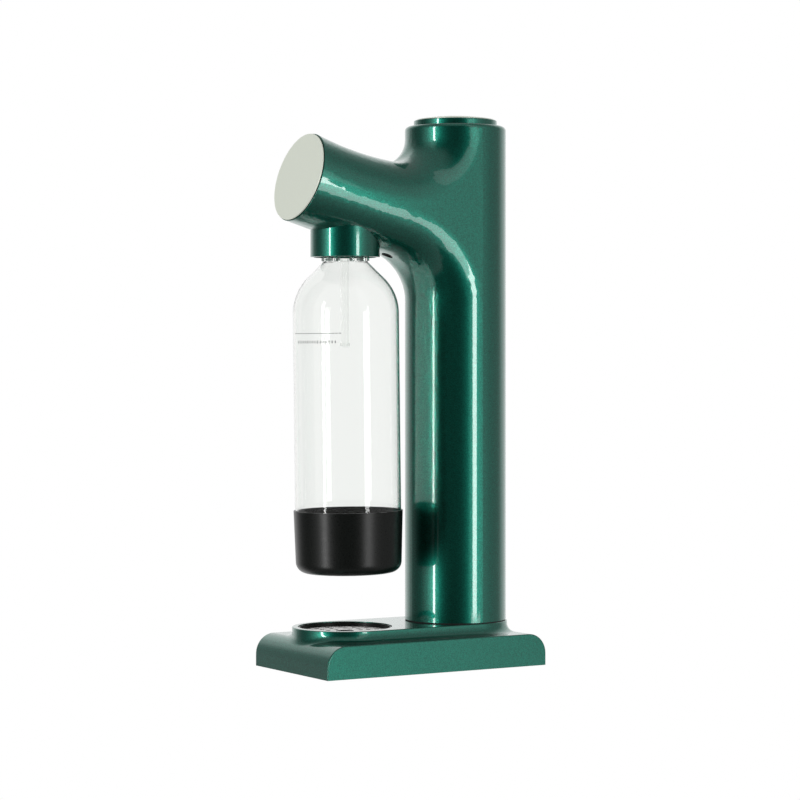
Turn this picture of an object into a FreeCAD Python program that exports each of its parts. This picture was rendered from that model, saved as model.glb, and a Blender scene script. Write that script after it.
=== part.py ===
import FreeCAD, Part

import math
import os

from FreeCAD import Vector

# A countertop soda maker: a low cast base with a drip well, a round column that holds the gas cylinder,
# and a round arm that grows out of the column and carries the bottle.
# Millimetres and degrees. Z is up from the table, -Y is the front, and X = 0 is the mid-plane.

# --- Base -------------------------------------------------------------------------------------------
FOOT_HEIGHT = 0.5
FOOT_RADIUS = 7.0
FOOT_SEAT = 0.8
FOOT_INSET = 14.0
BASE_WIDTH = 117.0
BASE_HEIGHT = 25.5
BASE_OVERHANG = 48.85
BASE_END_RADIUS = 16.0
BASE_EDGE_ROUND = 0.8
BASE_WALL = 3.0
PLINTH_RISE = 8.5
PLINTH_MARGIN = 1.0
PLINTH_FLARE = 7.5
PLINTH_EDGE_ROUND = 0.8
PLATE_THICKNESS = 2.4
PLATE_GAP = 0.3
PLATE_COLLAR_HEIGHT = 10.0
PLATE_COLLAR_WALL = 2.0
BOSS_RADIUS = 4.0
BOSS_INSET = 1.0
BASE_SCREW_RADIUS = 1.5
BASE_SCREW_HEAD = 2.9
BASE_SCREW_LENGTH = 12.0

# --- Drip well --------------------------------------------------------------------------------------
WELL_RIM = 4.7
WELL_DEPTH = 19.0
CUP_GAP = 0.3
CUP_WALL = 1.4
CUP_LIP_DROP = 0.6
GRATE_DROP = 3.7
GRATE_THICKNESS = 1.2
GRATE_GAP = 0.25
GRATE_CENTRE_RADIUS = 7.1
GRATE_HOLE_RADIUS = 2.0
GRATE_RINGS = 3
GRATE_FIRST_RING = 14.0
GRATE_RING_STEP = 7.25
GRATE_FIRST_HOLES = 8
GRATE_ADDED_HOLES = 4
CUP_SHELF_WIDTH = 2.2
CUP_SHELF_HEIGHT = 2.0

# --- Column and arm ---------------------------------------------------------------------------------
COLUMN_RADIUS = 41.0
COLUMN_HEIGHT = 398.7
COLUMN_EDGE_ROUND = 3.7
HOUSING_WALL = 2.5
GASKET_THICKNESS = 0.8
GASKET_INSET = 0.4
ARM_RADIUS = 35.7
ARM_TILT = 15.7
ARM_REACH = 144.1
ARM_DROP = 86.2
ARM_EDGE_ROUND = 0.5
ARM_TOP_RADIUS = 245.0
ARM_TOP_RISE = 4.6
ARM_TOP_EASE = 1.5
BLEND_UPPER = 21.0
BLEND_LOWER = 38.0
BLEND_MARGIN = 1.0
ROLL_FLAT = 0.05

# --- Column foot ------------------------------------------------------------------------------------
RING_GAP = 0.1
RING_WIDTH = 5.0
RING_HEIGHT = 10.0
COLUMN_BOLTS = 4
COLUMN_BOLT_RADIUS = 1.5
COLUMN_BOLT_HEAD = 2.5
COLUMN_BOLT_HEAD_HEIGHT = 2.2
COLUMN_BOLT_LENGTH = 10.0
COLUMN_BOLT_PHASE = 45.0
HOLE_RUNOUT = 1.0
GUIDE_FLANGE_WIDTH = 1.6
GUIDE_FLANGE_HEIGHT = 1.5
GUIDE_SKIRT = 6.0
GUIDE_WALL = 1.3
CYLINDER_GAP = 0.4

# --- Gas cylinder and valve -------------------------------------------------------------------------
CYLINDER_CLEARANCE = 7.0
CYLINDER_WALL = 2.5
CYLINDER_FOOT_ROUND = 6.0
CYLINDER_NECK_RADIUS = 13.0
CYLINDER_NECK_HEIGHT = 8.0
CYLINDER_MOUTH_RADIUS = 8.0
VALVE_BODY_RADIUS = 12.0
VALVE_BODY_HEIGHT = 16.0
VALVE_PLUG_LENGTH = 8.0
VALVE_NOSE_RADIUS = 9.0
VALVE_NOSE_LENGTH = 14.0
VALVE_SEAL_THICKNESS = 1.5
VALVE_SEAL_BORE = 4.0
PIN_RADIUS = 1.6
PIN_STAND = 4.0
PIN_LENGTH = 11.0
BLOCK_RADIUS = 15.0
BLOCK_HEIGHT = 40.0
BLOCK_SKIRT_GAP = 0.3
CHAMBER_RADIUS = 4.0
CHAMBER_HEIGHT = 12.0
PORT_RISE = 8.5
PORT_RADIUS = 2.0
RUNNING_GAP = 0.05

# --- Push button ------------------------------------------------------------------------------------
SHOULDER_WIDTH = 6.7
BUTTON_GAP = 0.5
BUTTON_STAND = 4.8
BUTTON_TRAVEL = 3.5
BUTTON_WALL = 2.4
BUTTON_EDGE_ROUND = 0.9
BUTTON_SKIRT = 15.0
BUTTON_FLANGE = 1.1
BUTTON_FLANGE_HEIGHT = 2.0
BUTTON_BOSS_RADIUS = 6.0
BUTTON_BOSS_HEIGHT = 6.0
BUTTON_DISC_RIM = 2.5
BUTTON_DISC_SEAT = 1.0
BUTTON_DISC_EDGE = 0.7
BUTTON_DISC_CROWN = 2.8
ROD_RADIUS = 3.0
BRACKET_DEPTH = 35.0
BRACKET_THICKNESS = 3.0
GUIDE_SCREWS = 3
GUIDE_SCREW_PHASE = 30.0
GUIDE_SCREW_RADIUS = 1.0
GUIDE_SCREW_HEAD = 1.5
GUIDE_SCREW_LENGTH = 9.0
BLOCK_SCREW_RADIUS = 1.5
BLOCK_SCREW_CIRCLE = 12.0
SPRING_WIRE = 1.2
SPRING_RADIUS = 7.6
SPRING_TURNS = 5
SPRING_SIDES = 8

# --- Carbonating head -------------------------------------------------------------------------------
NOZZLE_REACH = 103.3
COLLAR_RADIUS = 27.5
COLLAR_WALL = 2.6
COLLAR_DROP = 50.6
COLLAR_SEAT_DROP = 18.0
COLLAR_EDGE_ROUND = 0.6
COLLAR_SLOT = 0.2
COLLAR_SHELF_HEIGHT = 4.0
COLLAR_SHELF_BORE = 19.0
THREAD_RING_RECESS = 2.3
THREAD_RING_HEIGHT = 16.0
HEAD_SPIGOT_RADIUS = 18.8
HEAD_FLANGE_RADIUS = 26.5
HEAD_FLANGE_HEIGHT = 4.0
HEAD_CROWN_RADIUS = 14.0
HEAD_CROWN_HEIGHT = 9.0
HEAD_SCREWS = 3
HEAD_SCREW_PHASE = 30.0
HEAD_SCREW_CIRCLE = 22.5
HEAD_SCREW_RADIUS = 1.5
HEAD_SCREW_HEAD = 2.6
HEAD_SCREW_LENGTH = 7.0
SEAL_THICKNESS = 2.0
SEAL_BORE = 9.0
SEAL_GAP = 0.3
STEM_RADIUS = 6.0
STEM_BORE = 1.6
STEM_REACH = 9.0
TUBE_RADIUS = 3.3
TUBE_WALL = 0.9
TUBE_SOCKET = 5.0
TUBE_REACH = 80.4
TIP_WALL = 0.6
TIP_HEIGHT = 4.0
TIP_SOCKET = 2.6
TIP_ORIFICE = 0.8

# --- Gas line and relief valve ----------------------------------------------------------------------
HOSE_RADIUS = 3.0
HOSE_BORE = 1.5
FITTING_RADIUS = 4.5
FITTING_LENGTH = 9.0
BARB_RADIUS = 1.4
BARB_LENGTH = 6.0
ELBOW_HEIGHT = 12.0
ELBOW_LENGTH = 14.0
HOSE_LEAD = 20.0
HOSE_BEND_SHARE = 0.45
RELIEF_RADIUS = 5.5
RELIEF_LENGTH = 38.0
RELIEF_PIPE_RADIUS = 2.5
VENT_BEHIND_COLLAR = 11.5
VENT_RADIUS = 4.6
VENT_BORE = 2.9
VENT_STAND = 0.5
VENT_DEPTH = 6.0
VENT_GAP = 0.1

# --- Arm end ----------------------------------------------------------------------------------------
FACE_INSET = 0.5
FACE_THICKNESS = 0.9
PLUG_FLANGE = 0.6
PLUG_FLANGE_INSET = 1.4
PLUG_DEPTH = 4.0
PLUG_WALL = 2.0
PLUG_GAP = 0.8

# --- Bottle -----------------------------------------------------------------------------------------
BOTTLE_RADIUS = 42.0
BOTTLE_WALL = 1.2
BOTTLE_GAP = 42.5
BOTTLE_ENGAGEMENT = 18.8
BOTTLE_NECK_RADIUS = 16.0
BOTTLE_MOUTH_WALL = 3.0
BOTTLE_FLANGE_RADIUS = 18.1
BOTTLE_FLANGE_HEIGHT = 5.0
BOTTLE_FLANGE_SINK = 1.6
BOTTLE_SHOULDER_RADIUS = 40.0
BOTTLE_SHOULDER_SLOPE = 45.0
BOTTLE_THROAT_RADIUS = 17.6
BOTTLE_LEAN = 0.75
BOTTLE_FOOT_HEIGHT = 30.0
BOTTLE_FOOT_FLAT = 20.0
SLEEVE_HEIGHT = 49.3
SLEEVE_WALL = 1.1
SLEEVE_GAP = 0.15
SLEEVE_TAPER = 1.3
SLEEVE_FOOT_ROUND = 9.0
SLEEVE_FLOOR = 1.6

# --- Derived places ---------------------------------------------------------------------------------
EPS = 0.01
FAR = 1000.0
OVERCUT = 1.0
HALF_TURN_SINE = math.sqrt(0.5)
TILT = math.radians(ARM_TILT)

base_bottom = FOOT_HEIGHT
base_top = base_bottom + BASE_HEIGHT
plinth_top = base_top + PLINTH_RISE
plinth_radius = COLUMN_RADIUS + PLINTH_MARGIN
column_bottom = plinth_top + GASKET_THICKNESS
column_top = column_bottom + COLUMN_HEIGHT
bore_radius = COLUMN_RADIUS - HOUSING_WALL

face_radius = ARM_RADIUS - FACE_INSET
face_stand = PLUG_FLANGE + FACE_THICKNESS
front_reach = ARM_REACH + face_stand * math.cos(TILT) + face_radius * math.sin(TILT)

column_y = (front_reach - BASE_OVERHANG) / 2
nozzle_y = column_y - NOZZLE_REACH
base_front = nozzle_y - BASE_OVERHANG
base_rear = column_y + BASE_OVERHANG

arm_root_z = column_top - ARM_DROP
arm_direction = Vector(0, -math.cos(TILT), math.sin(TILT))
arm_up = Vector(0, math.sin(TILT), math.cos(TILT))
arm_root = Vector(0, column_y, arm_root_z)
arm_length = ARM_REACH / math.cos(TILT)
arm_end = arm_root + arm_direction * arm_length
nozzle_arm_z = arm_root_z + NOZZLE_REACH * math.tan(TILT)
vent_reach = NOZZLE_REACH - COLLAR_RADIUS - VENT_BEHIND_COLLAR

well_radius = plinth_radius - WELL_RIM
well_floor = plinth_top - WELL_DEPTH
cup_radius = well_radius - CUP_GAP
cup_top = plinth_top - CUP_LIP_DROP
grate_top = plinth_top - GRATE_DROP
grate_radius = cup_radius - CUP_WALL - GRATE_GAP

ring_radius = bore_radius - RING_GAP
ring_bore = ring_radius - RING_WIDTH
bolt_circle = (ring_radius + ring_bore) / 2
guide_flange_radius = ring_bore - RING_GAP
guide_radius = guide_flange_radius - GUIDE_FLANGE_WIDTH
bay_radius = guide_radius + RING_GAP
guide_bore = guide_radius - GUIDE_WALL
cylinder_radius = guide_bore - CYLINDER_GAP

bracket_top = column_top - BRACKET_DEPTH
bracket_bottom = bracket_top - BRACKET_THICKNESS
block_bottom = bracket_bottom - BLOCK_HEIGHT
valve_body_top = block_bottom - BLOCK_SKIRT_GAP
nose_top = valve_body_top + VALVE_NOSE_LENGTH
socket_top = nose_top + VALVE_SEAL_THICKNESS
chamber_top = socket_top + CHAMBER_HEIGHT
port_z = socket_top + PORT_RISE
cylinder_top = valve_body_top - VALVE_BODY_HEIGHT
cylinder_bottom = base_bottom + CYLINDER_CLEARANCE
pin_top = nose_top + PIN_STAND

button_hole_radius = COLUMN_RADIUS - SHOULDER_WIDTH
button_radius = button_hole_radius - BUTTON_GAP
button_top = column_top + BUTTON_STAND
button_ceiling = button_top - BUTTON_DISC_SEAT - BUTTON_WALL
button_bottom = button_ceiling - BUTTON_SKIRT
flange_radius = button_radius + BUTTON_FLANGE
flange_top = button_bottom + BUTTON_FLANGE_HEIGHT
sleeve_step = flange_top + BLOCK_SKIRT_GAP
cavity_top = column_top - HOUSING_WALL
disc_radius = button_radius - BUTTON_DISC_RIM

collar_bottom = nozzle_arm_z - COLLAR_DROP
collar_top = nozzle_arm_z - COLLAR_SEAT_DROP
collar_bore = COLLAR_RADIUS - COLLAR_WALL
mouth_z = collar_bottom + BOTTLE_ENGAGEMENT
seal_bottom = mouth_z + SEAL_GAP
seal_top = seal_bottom + SEAL_THICKNESS
head_flange_top = collar_top + HEAD_FLANGE_HEIGHT
head_top = head_flange_top + HEAD_CROWN_HEIGHT
stem_bottom = seal_bottom - STEM_REACH
tube_bottom = stem_bottom - TUBE_REACH
elbow_z = head_top + ELBOW_HEIGHT

bottle_bottom = plinth_top + BOTTLE_GAP
bottle_flange_top = collar_bottom + BOTTLE_FLANGE_SINK
bottle_flange_bottom = bottle_flange_top - BOTTLE_FLANGE_HEIGHT
sleeve_top = bottle_bottom + SLEEVE_HEIGHT


# --- Shape helpers ----------------------------------------------------------------------------------
def disc(radius, low, high, x=0.0, y=0.0):
    """Upright cylinder between two heights."""
    return Part.makeCylinder(radius, high - low, Vector(x, y, low))


def tube(radius, bore, low, high, x=0.0, y=0.0):
    """Upright ring between two heights."""
    return disc(radius, low, high, x, y).cut(disc(bore, low - OVERCUT, high + OVERCUT, x, y))


def rod_between(start, end, radius):
    """Round bar from one point to another."""
    run = end - start
    return Part.makeCylinder(radius, run.Length, start, run)


def polar(circle, count, x, y, phase=0.0):
    """Places evenly spaced on a circle."""
    places = []
    for index in range(count):
        angle = math.radians(phase + 360.0 * index / count)
        places.append((x + circle * math.cos(angle), y + circle * math.sin(angle)))
    return places


def cut_all(shape, tools):
    """Takes each tool out of a shape."""
    for tool in tools:
        shape = shape.cut(tool)
    return shape


def revolved(wire, y=0.0):
    """Turns a closed outline in the XZ plane a full turn about an upright axis at Y."""
    solid = Part.Face(wire).revolve(Vector(0, 0, 0), Vector(0, 0, 1), 360)
    solid.translate(Vector(0, y, 0))
    return solid


def line(start, end):
    """Straight edge between two (radius, height) points in the XZ plane."""
    return Part.LineSegment(Vector(start[0], 0, start[1]), Vector(end[0], 0, end[1])).toShape()


def arc(start, middle, end):
    """Arc through three (radius, height) points in the XZ plane."""
    points = [Vector(p[0], 0, p[1]) for p in (start, middle, end)]
    return Part.Arc(*points).toShape()


def quarter(start, end, centre, radius):
    """Arc from start to end about a centre, the short way round."""
    bulge = Vector(start[0] + end[0] - 2 * centre[0], start[1] + end[1] - 2 * centre[1], 0)
    bulge.normalize()
    middle = (centre[0] + radius * bulge.x, centre[1] + radius * bulge.y)
    return arc(start, middle, end)


def runs(points):
    """Straight edges that join points in turn."""
    return [Part.LineSegment(start, end).toShape() for start, end in zip(points, points[1:])]


def tangent_arc(corner, back, on, setback):
    """Arc that rounds a corner between two directions, from one setback to the other."""
    half_turn = (math.pi - back.getAngle(on)) / 2
    inward = (back + on).normalize()
    middle = corner + inward * (setback * (1 - math.cos(half_turn)) / math.sin(half_turn))
    return Part.Arc(corner + back * setback, middle, corner + on * setback)


def corner_arc(corner, back, on, radius):
    """Arc of a given radius that rounds a corner between two directions."""
    half_turn = (math.pi - back.getAngle(on)) / 2
    return tangent_arc(corner, back, on, radius * math.tan(half_turn))


def edges_where(shape, test):
    """Edges whose bounding box passes a test."""
    return [edge for edge in shape.Edges if test(edge.BoundBox)]


# --- Base -------------------------------------------------------------------------------------------
def side_profile(front, rear, low, high, end_radius, half_width):
    """Block with a straight underside and quarter-round ends, drawn from the side and extruded in X."""
    lean = end_radius * (1 - HALF_TURN_SINE)
    x = -half_width
    a = Vector(x, front, low)
    b = Vector(x, front, high - end_radius)
    c = Vector(x, front + end_radius, high)
    d = Vector(x, rear - end_radius, high)
    e = Vector(x, rear, high - end_radius)
    f = Vector(x, rear, low)
    front_arc = Part.Arc(b, Vector(x, front + lean, high - lean), c).toShape()
    rear_arc = Part.Arc(d, Vector(x, rear - lean, high - lean), e).toShape()
    straights = [Part.LineSegment(p, q).toShape() for p, q in ((a, b), (c, d), (e, f), (f, a))]
    wire = Part.Wire([straights[0], front_arc, straights[1], rear_arc, straights[2], straights[3]])
    return Part.Face(wire).extrude(Vector(2 * half_width, 0, 0))


def stadium(radius, low, high):
    """Upright block with round ends about the nozzle's and the column's axes."""
    middle = Part.makeBox(2 * radius, NOZZLE_REACH, high - low, Vector(-radius, nozzle_y, low))
    ends = disc(radius, low, high, 0, nozzle_y).fuse(disc(radius, low, high, 0, column_y))
    return middle.fuse(ends).removeSplitter()


def base_outer():
    """Outside of the base: quarter-round ends and a raised plinth that flares out of it."""
    half = BASE_WIDTH / 2
    block = side_profile(base_front, base_rear, base_bottom, base_top, BASE_END_RADIUS, half)
    body = block.fuse(stadium(plinth_radius, base_bottom, plinth_top)).removeSplitter()
    reach = plinth_radius + EPS
    foot = edges_where(
        body,
        lambda box: box.XMin > -reach and box.XMax < reach
        and box.ZMin > base_bottom + EPS and box.ZMax < base_top + EPS,
    )
    body = body.makeFillet(PLINTH_FLARE, foot)
    rim = edges_where(body, lambda box: box.ZMin > plinth_top - EPS)
    body = body.makeFillet(PLINTH_EDGE_ROUND, rim)
    sides = edges_where(
        body,
        lambda box: min(abs(box.XMin), abs(box.XMax)) > half - EPS and box.ZMax > base_bottom + EPS,
    )
    return body.makeFillet(BASE_EDGE_ROUND, sides)


def screw_places():
    """Six screws through the base plate: four near the corners and two beside the drip well."""
    x = BASE_WIDTH / 2 - BASE_WALL - BOSS_RADIUS - BOSS_INSET
    ends = (base_front + BASE_END_RADIUS, base_rear - BASE_END_RADIUS)
    middle = nozzle_y + NOZZLE_REACH / 2
    return [(side * x, y) for y in (ends[0], middle, ends[1]) for side in (-1, 1)]


def base_shell():
    """Cast base: outer walls, the pot of the drip well, screw bosses and the hole of the gas bay."""
    wall = BASE_WALL
    plate_top = base_bottom + PLATE_THICKNESS
    half = BASE_WIDTH / 2 - wall
    inner_radius = BASE_END_RADIUS - wall
    hollow = side_profile(
        base_front + wall, base_rear - wall, base_bottom - OVERCUT, base_top - wall, inner_radius, half
    )
    hollow = hollow.fuse(stadium(plinth_radius - wall, base_bottom, plinth_top - wall))
    pot = disc(well_radius + wall, well_floor - wall, plinth_top, 0, nozzle_y)
    kept = [disc(BOSS_RADIUS, plate_top, base_top, x, y) for x, y in screw_places()]
    hollow = cut_all(hollow, [pot] + kept)
    shell = base_outer().cut(hollow)
    holes = [
        disc(well_radius, well_floor, plinth_top + OVERCUT, 0, nozzle_y),
        disc(bay_radius, base_bottom, plinth_top + OVERCUT, 0, column_y),
    ]
    for x, y in polar(bolt_circle, COLUMN_BOLTS, 0, column_y, COLUMN_BOLT_PHASE):
        holes.append(disc(COLUMN_BOLT_RADIUS, plinth_top - 2 * wall, plinth_top + OVERCUT, x, y))
    for x, y in screw_places():
        holes.append(disc(BASE_SCREW_RADIUS, base_bottom, base_bottom + BASE_SCREW_LENGTH, x, y))
    return cut_all(shell, holes)


def foot_places():
    """Four feet, one near each corner of the base plate."""
    x = BASE_WIDTH / 2 - FOOT_INSET
    ends = (base_front + 2 * FOOT_INSET + BOSS_RADIUS, base_rear - 2 * FOOT_INSET - BOSS_RADIUS)
    return [(side * x, y) for y in ends for side in (-1, 1)]


def base_plate():
    """Moulded cover under the base, with a collar round the gas bay and seats for the feet."""
    inset = BASE_WALL + PLATE_GAP
    top = base_bottom + PLATE_THICKNESS
    width = BASE_WIDTH - 2 * inset
    length = base_rear - base_front - 2 * inset
    corner = Vector(-width / 2, base_front + inset, base_bottom)
    plate = Part.makeBox(width, length, PLATE_THICKNESS, corner)
    plate = plate.makeFillet(BASE_WALL, [e for e in plate.Edges if e.BoundBox.ZLength > PLATE_THICKNESS / 2])
    collar_radius = bay_radius + PLATE_COLLAR_WALL
    plate = plate.fuse(disc(collar_radius, base_bottom, top + PLATE_COLLAR_HEIGHT, 0, column_y))
    cuts = [disc(bay_radius, 0, plinth_top, 0, column_y)]
    for x, y in foot_places():
        cuts.append(disc(FOOT_RADIUS + PLATE_GAP, 0, base_bottom + FOOT_SEAT, x, y))
    for x, y in screw_places():
        cuts.append(disc(BASE_SCREW_RADIUS + PLATE_GAP, 0, top + OVERCUT, x, y))
        cuts.append(disc(BASE_SCREW_HEAD + PLATE_GAP, 0, base_bottom + PLATE_THICKNESS / 2, x, y))
    return cut_all(plate, cuts)


def rubber_feet():
    """Four round pads stuck into the seats of the base plate."""
    pads = []
    for x, y in foot_places():
        pad = disc(FOOT_RADIUS, 0, base_bottom + FOOT_SEAT, x, y)
        pads.append(pad.makeFillet(FOOT_SEAT / 2, edges_where(pad, lambda box: box.ZMax < EPS)))
    return Part.makeCompound(pads)


def base_screws():
    """Pan-head screws that hold the base plate to the bosses of the shell."""
    head_low = base_bottom + PLATE_GAP
    head_high = base_bottom + PLATE_THICKNESS / 2
    shank_high = base_bottom + BASE_SCREW_LENGTH - PLATE_GAP
    screws = []
    for x, y in screw_places():
        head = disc(BASE_SCREW_HEAD, head_low, head_high, x, y)
        screws.append(head.fuse(disc(BASE_SCREW_RADIUS - RUNNING_GAP, head_low, shank_high, x, y)))
    return Part.makeCompound(screws)


# --- Drip well --------------------------------------------------------------------------------------
def drip_cup():
    """Lift-out cup that lines the drip well, with a shelf inside that carries the grate."""
    inner = cup_radius - CUP_WALL
    shelf_top = grate_top - GRATE_THICKNESS
    cup = disc(cup_radius, well_floor, cup_top, 0, nozzle_y)
    cup = cup.makeFillet(CUP_WALL, edges_where(cup, lambda box: box.ZMax < well_floor + EPS))
    shelf_low = shelf_top - CUP_SHELF_HEIGHT
    cuts = [
        disc(inner, shelf_top, cup_top + OVERCUT, 0, nozzle_y),
        disc(inner - CUP_SHELF_WIDTH, shelf_low, cup_top, 0, nozzle_y),
        disc(inner, well_floor + CUP_WALL, shelf_low, 0, nozzle_y),
    ]
    return cut_all(cup, cuts)


def drip_grate():
    """Pressed steel disc with a drain hole in the middle and rings of small holes round it."""
    grate = disc(grate_radius, grate_top - GRATE_THICKNESS, grate_top, 0, nozzle_y)
    low = grate_top - 2 * GRATE_THICKNESS
    cuts = [disc(GRATE_CENTRE_RADIUS, low, grate_top + OVERCUT, 0, nozzle_y)]
    for ring in range(GRATE_RINGS):
        circle = GRATE_FIRST_RING + ring * GRATE_RING_STEP
        holes = GRATE_FIRST_HOLES + ring * GRATE_ADDED_HOLES
        for x, y in polar(circle, holes, 0, nozzle_y):
            cuts.append(disc(GRATE_HOLE_RADIUS, low, grate_top + OVERCUT, x, y))
    return cut_all(grate, cuts)


# --- Column and arm ---------------------------------------------------------------------------------
def upper_blend_room(column_radius, arm_radius, high):
    """Largest blend above the arm that still ends below the top of the column."""
    half_turn = (math.pi / 2 + TILT) / 2
    crotch = arm_root_z + column_radius * math.tan(TILT) + arm_radius / math.cos(TILT) + ARM_TOP_RISE
    return (high - BLEND_MARGIN - crotch) / math.tan(half_turn)


def top_ends(column_radius, arm_radius, reach):
    """Where the arm's top line starts at the mouth, and where it would meet the column's front line."""
    front = column_y - column_radius
    start = arm_root + arm_direction * reach + arm_up * arm_radius
    end = start + arm_direction * ((front - start.y) / arm_direction.y)
    end.z += ARM_TOP_RISE
    return start, end


def top_centre(start, end, turn):
    """Centre of the long hollow arc, above the arm."""
    chord = end - start
    half = chord.Length / 2
    rise = Vector(0, -chord.z, chord.y).normalize()
    return (start + end) * 0.5 + rise * math.sqrt(turn ** 2 - half ** 2)


def top_turn(column_radius):
    """Radius of the long hollow arc, larger for the room inside than for the outside."""
    return ARM_TOP_RADIUS + COLUMN_RADIUS - column_radius


def waist(column_radius, arm_radius, reach):
    """Least height of the arm between its hollow top line and its straight bottom line."""
    turn = top_turn(column_radius)
    start, end = top_ends(column_radius, arm_radius, reach)
    return (top_centre(start, end, turn) - arm_root).dot(arm_up) + arm_radius - turn


def top_line(start, end, turn, front, blend):
    """Top of the arm: a long hollow arc from the mouth, and a small arc that turns it up the column.

    The long arc would meet the column's front line at its end, and the small one touches both.
    """
    centre = top_centre(start, end, turn)
    ahead = front - blend - centre.y
    small_centre = Vector(0, front - blend, centre.z - math.sqrt((turn - blend) ** 2 - ahead ** 2))
    down = (small_centre - centre).normalize()
    touch = centre + down * turn
    half_way = (Vector(0, 1, 0) + down).normalize()
    across = (start + touch) * 0.5 - centre
    long_arc = Part.Arc(start, centre + across.normalize() * turn, touch)
    small_arc = Part.Arc(touch, small_centre + half_way * blend, small_centre + Vector(0, blend, 0))
    return long_arc, small_arc


def side_view(column_radius, arm_radius, low, high, reach, upper, lower):
    """Side outline of the column's front half and the arm."""
    front = column_y - column_radius
    rear = column_y + OVERCUT
    bottom = arm_root - arm_up * arm_radius
    bottom_mouth = bottom + arm_direction * reach
    top_mouth, crotch_corner = top_ends(column_radius, arm_radius, reach)
    top, crotch = top_line(top_mouth, crotch_corner, top_turn(column_radius), front, upper)
    throat_corner = bottom + arm_direction * ((front - bottom.y) / arm_direction.y)
    throat = corner_arc(throat_corner, arm_direction, Vector(0, 0, -1), lower)
    behind = [
        throat.EndPoint, Vector(0, front, low), Vector(0, rear, low), Vector(0, rear, high),
        Vector(0, front, high), crotch.EndPoint,
    ]
    ahead = [top_mouth, bottom_mouth, throat.StartPoint]
    above = [crotch.toShape(), top.toShape()]
    return Part.Face(Part.Wire(above + runs(ahead) + [throat.toShape()] + runs(behind)))


def narrowing_turn(column_radius, arm_radius):
    """Radius of the long arc, seen from above, that draws the arm in from the column's width."""
    sag = max(column_radius - arm_radius, EPS)
    run = column_y - column_radius - arm_end.y
    return (run ** 2 + sag ** 2) / (2 * sag)


def half_width(column_radius, arm_radius, y):
    """Half the arm's width at a place ahead of the column."""
    turn = narrowing_turn(column_radius, arm_radius)
    ahead = column_y - column_radius - y
    return column_radius - turn + math.sqrt(turn ** 2 - ahead ** 2)


def narrowing(column_radius, arm_radius, low, high):
    """Room as wide as the column that draws in ahead of it by the long arc on each side."""
    front = column_y - column_radius
    turn = narrowing_turn(column_radius, arm_radius)
    left, right = [disc(turn, low, high, side * (turn - column_radius), front) for side in (1, -1)]
    width = 2 * column_radius
    behind = Part.makeBox(width, width, high - low, Vector(-column_radius, front, low))
    return left.common(right).fuse(behind).removeSplitter()


def arm_rolls(column_radius, arm_radius, reach):
    """Radii of the arm's rolled edges, below and above.

    The lower edges are as round as the mouth allows. The upper ones are a little tighter, and stay
    within the height that the lower ones leave at the arm's waist.
    """
    lip = arm_root + arm_direction * reach - arm_up * arm_radius
    below = min(half_width(column_radius, arm_radius, lip.y), arm_radius) - ROLL_FLAT
    above = min(below - ARM_TOP_EASE, waist(column_radius, arm_radius, reach) - below - ROLL_FLAT)
    return below, above


def roll_at(end, column_radius, rolls):
    """Radius of the rolled edge at one of its ends: the column's along the column, and the arm's ahead."""
    if abs(end.y - (column_y - column_radius)) < EPS:
        return column_radius - ROLL_FLAT
    below, above = rolls
    return above if (end - arm_root).dot(arm_up) > 0 else below


def edges_to_roll(block, column_radius, rolls, low, high):
    """Right-hand edges of the block, each with its number and its radius at both ends.

    The foremost come first, because each edge that follows may change the radius where the two meet.
    """
    front = column_y - column_radius
    found = []
    for number, edge in enumerate(block.Edges, 1):
        box = edge.BoundBox
        ends = [vertex.Point for vertex in edge.Vertexes]
        level = box.ZLength < EPS
        across_mouth = abs((ends[0] - ends[-1]).dot(arm_direction)) < EPS
        within_web = box.YLength < EPS and box.ZMin > low + EPS and box.ZMax < high - EPS
        elsewhere = box.XMin < EPS or box.YMin > column_y
        if level or across_mouth or within_web or elsewhere:
            continue
        first, last = [roll_at(end, column_radius, rolls) for end in ends]
        found.append((box.YMin, number, first, last))
    return [(number, first, last) for place, number, first, last in sorted(found)]


def rolled(block, edges):
    """Block with edges rounded by radii that change along them."""
    drawing = FreeCAD.newDocument("rolled")
    base = drawing.addObject("Part::Feature", "block")
    base.Shape = block
    rounded = drawing.addObject("Part::Fillet", "rounded")
    rounded.Base = base
    rounded.Edges = edges
    drawing.recompute()
    shape = rounded.Shape.copy()
    FreeCAD.closeDocument(drawing.Name)
    return shape


def branch(column_radius, arm_radius, low, high, reach, upper, lower):
    """Column and arm in one flowing form.

    A block with the side outline is drawn in towards the arm's mouth. Its edges are rolled over by the
    column's radius along the column and by the arm's along the arm, so that both are round in section
    and a flat web stays between them. One side is made and mirrored, and the column's back is added.
    """
    height = high - low
    outline = side_view(column_radius, arm_radius, low, high, reach, upper, lower)
    outline.translate(Vector(-column_radius - OVERCUT, 0, 0))
    block = outline.extrude(Vector(2 * (column_radius + OVERCUT), 0, 0))
    block = block.common(narrowing(column_radius, arm_radius, low, high)).Solids[0]
    rolls = arm_rolls(column_radius, arm_radius, reach)
    side = rolled(block, edges_to_roll(block, column_radius, rolls, low, high))
    side = side.common(Part.makeBox(FAR, FAR, height, Vector(0, column_y - FAR, low)))
    front = side.fuse(side.mirror(Vector(0, 0, 0), Vector(1, 0, 0)))
    behind = Part.makeBox(2 * column_radius, column_radius, height, Vector(-column_radius, column_y, low))
    rear = disc(column_radius, low, high, 0, column_y).common(behind)
    return front.fuse(rear).removeSplitter()


def top_edge_waste():
    """Ring that leaves the column's top edge rounded when it is cut away."""
    low = column_top - COLUMN_EDGE_ROUND
    post = disc(COLUMN_RADIUS, low - COLUMN_EDGE_ROUND, column_top, 0, column_y)
    post = post.makeFillet(COLUMN_EDGE_ROUND, edges_where(post, lambda box: box.ZMin > column_top - EPS))
    return disc(COLUMN_RADIUS + OVERCUT, low, column_top + OVERCUT, 0, column_y).cut(post)


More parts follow.
